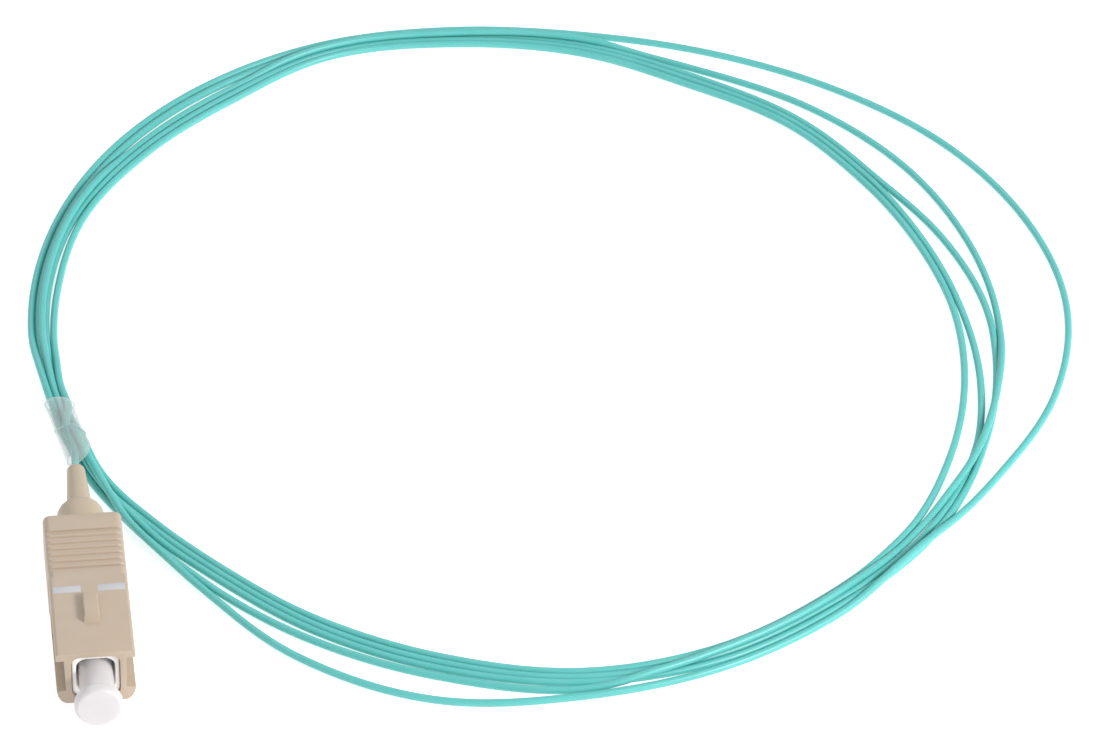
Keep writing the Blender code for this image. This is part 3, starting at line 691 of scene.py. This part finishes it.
def bars_across(name, lines, values, tree, sockets):
    """Bars swept along lines of world points by the node tree, as one plain mesh."""
    mesh = bpy.data.meshes.new(name)
    points, edges = [], []
    for line in lines:
        edges += [(len(points) + index, len(points) + index + 1) for index in range(len(line) - 1)]
        points += [Vector(point) * MM for point in line]
    mesh.from_pydata(points, edges, [])
    piece = link_piece(name, mesh)
    modifier = piece.modifiers.new("bars", "NODES")
    modifier.node_group = tree
    for socket, value in values.items():
        modifier[sockets[socket]] = value
    applied(piece)
    return smooth(piece, ROUND_PIECE_ANGLE)


def make_grip_ribs(material, tree, sockets):
    """Grip ribs above, following the rounded edges, and below."""
    first = PANEL_FRONT + (PANEL_REAR - PANEL_FRONT - (RIB_COUNT - 1) * RIB_PITCH) / 2
    above = top_line(RIB_HEIGHT, RIB_HEIGHT)
    reach = BOTTOM_RIB_REACH - BOTTOM_RIB_GAP
    below = ((-reach, RIB_HEIGHT), (reach, RIB_HEIGHT))
    lines = [[(x, first, z) for x, z in line] for line in (above, below)]
    values = {
        "Bar Count": RIB_COUNT, "Bar Pitch": RIB_PITCH * MM, "Bar Width": RIB_WIDTH * MM,
        "Bar Height": RIB_HEIGHT * MM, "Finish": material}
    return bars_across("grip_ribs", lines, values, tree, sockets)


def make_spring(material, tree, sockets):
    """Spring behind the ferrule: one helix of round wire on the connector's axis."""
    count = SPRING_TURNS * SPRING_POINTS_PER_TURN
    line = []
    for number in range(count + 1):
        turn = 2 * math.pi * number / SPRING_POINTS_PER_TURN
        y = SPRING_FRONT + (SPRING_REAR - SPRING_FRONT) * number / count
        line.append((SPRING_RADIUS * math.cos(turn), y, AXIS_Z + SPRING_RADIUS * math.sin(turn)))
    values = {
        "Bar Count": 1, "Bar Pitch": 0.0, "Bar Width": SPRING_WIRE * MM, "Bar Height": SPRING_WIRE / 2 * MM,
        "Finish": material}
    return bars_across("spring_wire", [line], values, tree, sockets)


def make_seating_mark(side, material):
    """White mark printed across the top face, a hair proud of it."""
    name = "seating_mark_left" if side < 0 else "seating_mark_right"
    across = sorted((side * MARK_INNER, side * MARK_OUTER))
    low = (across[0], MARK_FRONT, HOUSING_HEIGHT - MARK_DEPTH)
    mesh = box(name, low, (across[1], MARK_REAR, HOUSING_HEIGHT + MARK_PROUD))
    return soften(link_piece(name, mesh, material), MARK_ROUND, 2)


def make_plug_body(material):
    """Plug frame: rounded square body with front bore, web and spring cavity."""
    outline = rounded_rectangle(PLUG_HALF_WIDTH, PLUG_HALF_HEIGHT, PLUG_CORNER)
    mouth = rounded_rectangle(PLUG_MOUTH_HALF_WIDTH, PLUG_MOUTH_HALF_HEIGHT, PLUG_MOUTH_CORNER)
    piece = link_piece("plug_body", prism("plug_body", outline, PLUG_FRONT, PLUG_REAR), material)
    steps = [("DIFFERENCE", prism("mouth", mouth, PLUG_FRONT - PAST_FACE, PLUG_WEB_FRONT))]
    for name, radius, front, rear in (
            ("web_hole", PLUG_WEB_HOLE_RADIUS, PLUG_WEB_FRONT - PAST_FACE, PLUG_WEB_REAR + PAST_FACE),
            ("spring_cavity", PLUG_CAVITY_RADIUS, PLUG_WEB_REAR, PLUG_REAR + PAST_FACE)):
        steps.append(("DIFFERENCE", prism(name, hole_outline(radius), front, rear)))
    shaped(piece, steps)
    return soften(piece, PLUG_EDGE_ROUND)


def make_dust_cap(material):
    """Dust cap: barrel over the ferrule with a thick lip, a step and a wide round head."""
    piece = link_piece("dust_cap_shell", turned("dust_cap_shell", (
        (CAP_FRONT, 0.0, 0.0), (CAP_FRONT, CAP_HEAD_RADIUS, CAP_HEAD_ROUND),
        (CAP_HEAD_REAR, CAP_HEAD_RADIUS, CAP_HEAD_ROUND),
        (CAP_HEAD_REAR, CAP_BARREL_RADIUS + CAP_FLARE, CAP_EDGE_ROUND),
        (CAP_HEAD_REAR + CAP_FLARE, CAP_BARREL_RADIUS, CAP_FLARE_ROUND),
        (CAP_REAR, CAP_BARREL_RADIUS, CAP_EDGE_ROUND), (CAP_REAR, CAP_BORE_RADIUS, CAP_MOUTH_ROUND),
        (CAP_BORE_FRONT, CAP_BORE_RADIUS, CAP_BORE_ROUND), (CAP_BORE_FRONT, 0.0, 0.0))), material)
    return smooth(piece, ROUND_PIECE_ANGLE)


def make_boot(material):
    """Boot: round collar with soft shoulders, and a cone that swells into it."""
    piece = link_piece("boot_moulding", turned("boot_moulding", (
        (COLLAR_FRONT, BOOT_SOCKET_RADIUS, BOOT_SOCKET_ROUND),
        (COLLAR_FRONT, COLLAR_RADIUS, COLLAR_FRONT_ROUND),
        (COLLAR_REAR, COLLAR_RADIUS, COLLAR_REAR_ROUND), (COLLAR_REAR, BOOT_BASE_RADIUS, BOOT_BASE_ROUND),
        (BOOT_TIP, BOOT_TIP_RADIUS, BOOT_TIP_ROUND), (BOOT_TIP, FIBRE_HOLE_RADIUS, BOOT_HOLE_ROUND),
        (BOOT_SOCKET_REAR, FIBRE_HOLE_RADIUS, 0.0), (BOOT_SOCKET_REAR, BOOT_SOCKET_RADIUS, 0.0))), material)
    return smooth(piece, ROUND_PIECE_ANGLE)


def catmull_rom(keys, place):
    """Smooth curve through evenly spaced keys, read at places counted in keys."""
    index = np.clip(np.floor(place).astype(int), 1, len(keys) - 3)
    t = np.clip(place - index, 0, 1)
    before, here, after, beyond = keys[index - 1], keys[index], keys[index + 1], keys[index + 2]
    return 0.5 * (
        2 * here + (after - before) * t + (2 * before - 5 * here + 4 * after - beyond) * t ** 2
        + (3 * here - before - 3 * after + beyond) * t ** 3)


def sleeve_hold(angle):
    """1 inside the sleeve, falling to 0 where the turns lie free."""
    past = np.maximum(HOLD_UPPER - angle, angle - HOLD_LOWER)
    t = np.clip(past / HOLD_EASE, 0, 1)
    return 1 - t * t * (3 - 2 * t)


def place_in_sleeve(angle, slot):
    """Radius and height of one pass of the fibre inside the sleeve; the bundle twists a little."""
    reach, lower_turn, upper_turn = slot
    t = np.clip((HOLD_LOWER - angle) / (HOLD_LOWER - HOLD_UPPER), 0, 1)
    share = t * t * (3 - 2 * t)
    turn = np.radians(lower_turn + (upper_turn - lower_turn) * share)
    radius = BUNDLE_LOWER[0] + (BUNDLE_UPPER[0] - BUNDLE_LOWER[0]) * share
    height = BUNDLE_LOWER[1] + (BUNDLE_UPPER[1] - BUNDLE_LOWER[1]) * share
    return radius + reach * np.cos(turn), height + reach * np.sin(turn)


def settled_turns():
    """Radius and height of the turns, section by section.

    Each turn starts on the radii of TURN_ROWS. The strands then sink under their weight, push each
    other aside where they touch, and ride over each other where they cross.
    """
    per_turn = int(360 / SECTION_STEP)
    count = TURN_COUNT * per_turn + int(TAIL_ANGLE / SECTION_STEP) + 1
    run = np.arange(count) * SECTION_STEP
    angle = (TURNS_START - run) % 360
    passes = np.round(run / 360).astype(int)
    in_sleeve = (BUNDLE_UPPER[0] + BUNDLE_LOWER[0]) / 2
    keys = [in_sleeve] * 2
    for turn in range(TURN_COUNT):
        keys += [radii[turn] for _, radii in TURN_ROWS] + [in_sleeve]
    keys = np.array(keys + [in_sleeve] * 2)
    laid = catmull_rom(keys, (run - (TURNS_START - SLEEVE_ROW)) / ROW_STEP + 1)
    held_radius = np.zeros(count)
    held_height = np.zeros(count)
    for number, slot in enumerate(SLEEVE_SLOTS):
        here = passes == number
        held_radius[here], held_height[here] = place_in_sleeve(angle[here], slot)
    hold = sleeve_hold(angle)
    laid = laid * (1 - hold) + held_radius * hold
    held = hold > HELD_ABOVE
    floor = FIBRE_DIAMETER / 2 + TABLE_CLEARANCE
    radius = laid.copy()
    height = (floor + LAYER_RISE * (run // 360)) * (1 - hold) + held_height * hold
    for step in range(SETTLE_STEPS):
        height = height - SINK_STEP * (SINK_FACTOR - step / SETTLE_STEPS)
        drift = radius - laid
        for _ in range(BEND_PASSES):
            drift[1:-1] += BEND_SHARE * ((drift[:-2] + drift[2:]) / 2 - drift[1:-1])
            height[1:-1] += BEND_SHARE * ((height[:-2] + height[2:]) / 2 - height[1:-1])
        radius = laid + drift * SETTLE_KEEP
        for turns_apart in range(1, TURN_COUNT + 1):
            shift = per_turn * turns_apart
            if shift >= count:
                break
            under, over = slice(0, count - shift), slice(shift, count)
            across = radius[over] - radius[under]
            up = height[over] - height[under]
            apart = np.hypot(across, up) + TINY
            press = np.clip(FIBRE_DIAMETER - apart, 0, None)
            across, up = across / apart, up / apart
            up = np.where(apart < FIBRE_DIAMETER / 2, np.abs(up) + CLIMB, up)
            radius[under] -= PUSH_ASIDE * press * across
            radius[over] += PUSH_ASIDE * press * across
            height[under] -= PUSH_ASIDE * press * up
            height[over] += PUSH_UP * press * up
        height = np.where(held, held_height, np.maximum(height, floor))
        radius = np.where(held, held_radius, radius)
    return angle, radius, height


def fibre_line():
    """The fibre's centreline in metres: through the boot, over into the sleeve, and round the coil."""
    angle, radius, height = settled_turns()
    turn = np.radians(angle)
    coil = np.column_stack((
        COIL_MIDDLE[0] + radius * np.cos(turn), COIL_MIDDLE[1] + radius * np.sin(turn), height))
    start = Vector((0.0, BOOT_TIP, AXIS_Z))
    end = Vector(coil[0])
    onward = Vector(coil[2] - coil[0]).normalized()
    bend = (end - start).length * LEAD_HANDLE
    lead = []
    for step in range(LEAD_STEPS):
        lead.append(Vector((0.0, LEAD_START + (BOOT_TIP - LEAD_START) * step / LEAD_STEPS, AXIS_Z)))
    for step in range(LEAD_BEND_STEPS):
        t = step / LEAD_BEND_STEPS
        lead.append(
            start * (1 - t) ** 3 + (start + Vector((0, bend, 0))) * 3 * t * (1 - t) ** 2
            + (end - onward * bend) * 3 * t * t * (1 - t) + end * t ** 3)
    thinned = [coil[index] for index in range(0, len(coil), SECTIONS_PER_POINT)]
    return [Vector(point) * MM for point in lead + thinned]


def tube_along(name, line, material):
    """Round fibre along a line of points in metres, with closed ends."""
    curve = bpy.data.curves.new(name, "CURVE")
    curve.dimensions = "3D"
    curve.bevel_depth = FIBRE_DIAMETER / 2 * MM
    curve.bevel_resolution = FIBRE_BEVEL_RESOLUTION
    curve.use_fill_caps = True
    spline = curve.splines.new("POLY")
    spline.points.add(len(line) - 1)
    for point, place in zip(spline.points, line):
        point.co = (*place, 1.0)
    curve.materials.append(material)
    return link_piece(name, curve)


def make_fibre(material):
    """Buffered fibre: the cord from the boot to its bare end, and its stretch in the connector."""
    line = fibre_line()
    buried = [Vector((0.0, y, AXIS_Z)) * MM for y in (BURIED_START, LEAD_START - BURIED_GAP)]
    length = sum((after - before).length for before, after in zip(line, line[1:]))
    cord = tube_along("buffered_fibre", line, material)
    return cord, tube_along("fibre_in_connector", buried, material), length


def tube_ring(bm, start, along, cuts, share, reach):
    """One ring of a tube that is cut askew at both ends, at a share of the way between its two cuts."""
    side = along.cross(Vector((0, 0, 1))).normalized()
    up = side.cross(along)
    ring = []
    for number in range(SLEEVE_SIDES):
        around = 2 * math.pi * number / SLEEVE_SIDES
        ends = []
        for place, lean, towards in cuts:
            ends.append(place + lean * reach / SLEEVE_RADIUS * math.cos(around - math.radians(towards)))
        out = side * math.cos(around) + up * math.sin(around)
        run = ends[0] + (ends[1] - ends[0]) * share
        ring.append(bm.verts.new((start + along * run + out * reach) * MM))
    return ring


def make_sleeve(material, rim_highlight_material):
    """Clear sleeve: two short tubes end to end round the bundle, cut askew, with soft lips."""
    start, end = Vector(SLEEVE_START), Vector(SLEEVE_END)
    along = (end - start).normalized()
    bm = bmesh.new()
    for cuts in SLEEVE_CUTS:
        rings = []
        for step in range(SLEEVE_RINGS + 1):
            share = step / SLEEVE_RINGS
            reach = SLEEVE_RADIUS + SLEEVE_LIP * (abs(2 * share - 1) ** SLEEVE_LIP_POWER - 1)
            rings.append(tube_ring(bm, start, along, cuts, share, reach))
        for step in range(SLEEVE_RINGS + 1):
            share = 1 - step / SLEEVE_RINGS
            rings.append(tube_ring(bm, start, along, cuts, share, SLEEVE_RADIUS - SLEEVE_WALL))
        for place, ring in enumerate(rings):
            following = rings[(place + 1) % len(rings)]
            for number in range(SLEEVE_SIDES):
                after = (number + 1) % SLEEVE_SIDES
                face = bm.faces.new((ring[number], ring[after], following[after], following[number]))
                # The cut end faces take the painted rim highlight; the rest of the tube takes the clear
                # finish.
                face.material_index = 1 if place % (SLEEVE_RINGS + 1) == SLEEVE_RINGS else 0
    piece = link_piece("tie_sleeve_tubes", mesh_of("tie_sleeve_tubes", bm))
    piece.data.materials.append(material)
    piece.data.materials.append(rim_highlight_material)
    return smooth(piece, ROUND_PIECE_ANGLE)


def table_top():
    """Table: satin white laminate, lit so that it stays nearly as bright as a light table."""
    material = bpy.data.materials.new("white_laminate")
    material.use_nodes = True
    tree = material.node_tree
    shader = tree.nodes["Principled BSDF"]
    shader.inputs["Base Color"].default_value = linear("#C4C4C6")
    shader.inputs["Roughness"].default_value = 0.7
    shader.inputs["Emission Color"].default_value = linear("#FFFFFF")
    shader.inputs["Emission Strength"].default_value = TABLE_GLOW
    corners = [
        Vector((across * TABLE_REACH, away * TABLE_REACH, 0)) * MM
        for across, away in ((-1, -1), (1, -1), (1, 1), (-1, 1))]
    mesh = bpy.data.meshes.new("table_top")
    mesh.from_pydata(corners, [], [(0, 1, 2, 3)])
    return link_piece("table_top", mesh, material)


def area_light(name, place, aim, size, power, colour):
    """Soft lamp at a place, aimed at a point, both in millimetres."""
    lamp = bpy.data.lights.new(name, "AREA")
    lamp.shape = "DISK"
    lamp.size = size * MM
    lamp.energy = power
    lamp.color = linear(colour)[:3]
    piece = bpy.data.objects.new(name, lamp)
    place, aim = Vector(place) * MM, Vector(aim) * MM
    turn = (aim - place).to_track_quat("-Z", "Y").to_matrix().to_4x4()
    piece.matrix_world = Matrix.Translation(place) @ turn
    bpy.context.scene.collection.objects.link(piece)


def place_camera():
    """Camera at the photograph's angle, aimed at the coil."""
    elevation, yaw, roll = (math.radians(value) for value in (CAMERA_ELEVATION, CAMERA_YAW, CAMERA_ROLL))
    forward = Vector((
        math.sin(yaw) * math.cos(elevation), math.cos(yaw) * math.cos(elevation), -math.sin(elevation)))
    level = Vector((math.cos(yaw), -math.sin(yaw), 0))
    upright = level.cross(forward)
    right = level * math.cos(roll) + upright * math.sin(roll)
    up = upright * math.cos(roll) - level * math.sin(roll)
    camera = bpy.data.cameras.new("camera")
    camera.sensor_fit = "HORIZONTAL"
    camera.sensor_width = SENSOR_WIDTH
    camera.lens = SENSOR_WIDTH * CAMERA_FOCAL_PX / FRAME_WIDTH_PX
    camera.clip_start = CAMERA_NEAREST * MM
    camera.clip_end = CAMERA_FARTHEST * MM
    piece = bpy.data.objects.new("camera", camera)
    place = (Vector(CAMERA_TARGET) - forward * CAMERA_DISTANCE) * MM
    turn = Matrix((right, up, -forward)).transposed().to_4x4()
    piece.matrix_world = Matrix.Translation(place) @ turn
    bpy.context.scene.collection.objects.link(piece)
    bpy.context.scene.camera = piece


def light_scene():
    """White room with a soft lamp in front on the right, a weak one on the left and one at the rear."""
    scene = bpy.context.scene
    scene.view_settings.view_transform = "Standard"
    world = bpy.data.worlds.new("white_room")
    world.use_nodes = True
    backdrop = world.node_tree.nodes["Background"]
    backdrop.inputs["Color"].default_value = linear("#FFFFFF")
    backdrop.inputs["Strength"].default_value = ROOM_GLOW
    scene.world = world
    for lamp in LAMPS:
        area_light(*lamp)


def finish_cad_node(name, material):
    """Give a CAD node that stays its finish."""
    node = bpy.data.objects[name]
    for slot in node.material_slots:
        slot.material = material


def build():
    """Make every piece, and say what it rides on and what it replaces."""
    beige = beige_pbt()
    aqua = aqua_buffer()
    fibre, buried, fibre_length = make_fibre(aqua)
    sleeve = make_sleeve(clear_sleeve(), painted_rim_highlight())
    tree, sockets = sweep_tree()
    shell = make_grip_shell(beige)
    ribs = make_grip_ribs(beige, tree, sockets)
    ink = printed_white()
    marks = [make_seating_mark(side, ink) for side in (-1, 1)]
    plug = make_plug_body(white_pbt())
    cap = make_dust_cap(milky_polyethylene())
    boot = make_boot(beige_elastomer())
    spring = make_spring(turned_metal("drawn_spring_steel", "#B9BBBD", 0.3, 0.05), tree, sockets)

    for piece, body, slot in (
            (fibre, "core", "fibre_aqua"), (buried, "core", "fibre_aqua"), (sleeve, "core", "sleeve_clear"),
            (plug, "core", "frame_white"), (spring, "core", "spring_steel"),
            (boot, "core", "boot_beige"), (cap, "cap", "cap_white"), (shell, "grip", "housing_beige"),
            (ribs, "grip", "housing_beige"), (marks[0], "grip", "frame_white"),
            (marks[1], "grip", "frame_white")):
        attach(piece, body)
    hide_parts("fibre_lead", "fibre_coil", "fibre_outer_loop", "fibre_lower_loop")
    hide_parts("tie_sleeve")
    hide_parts("grip_housing")
    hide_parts("plug_frame")
    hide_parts("boot")
    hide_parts("dust_cap")
    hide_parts("ferrule_spring")
    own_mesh(spring)

    finish_cad_node("ferrule", ground_zirconia())
    finish_cad_node("ferrule_flange", turned_metal("nickel_plated_flange", "#C9C4BA", 0.22, 0.12))
    finish_cad_node("stop_ring", turned_metal("nickel_plated_stop_ring", "#C6C1B7", 0.26, 0.18))

    table_top()
    light_scene()
    place_camera()


build()
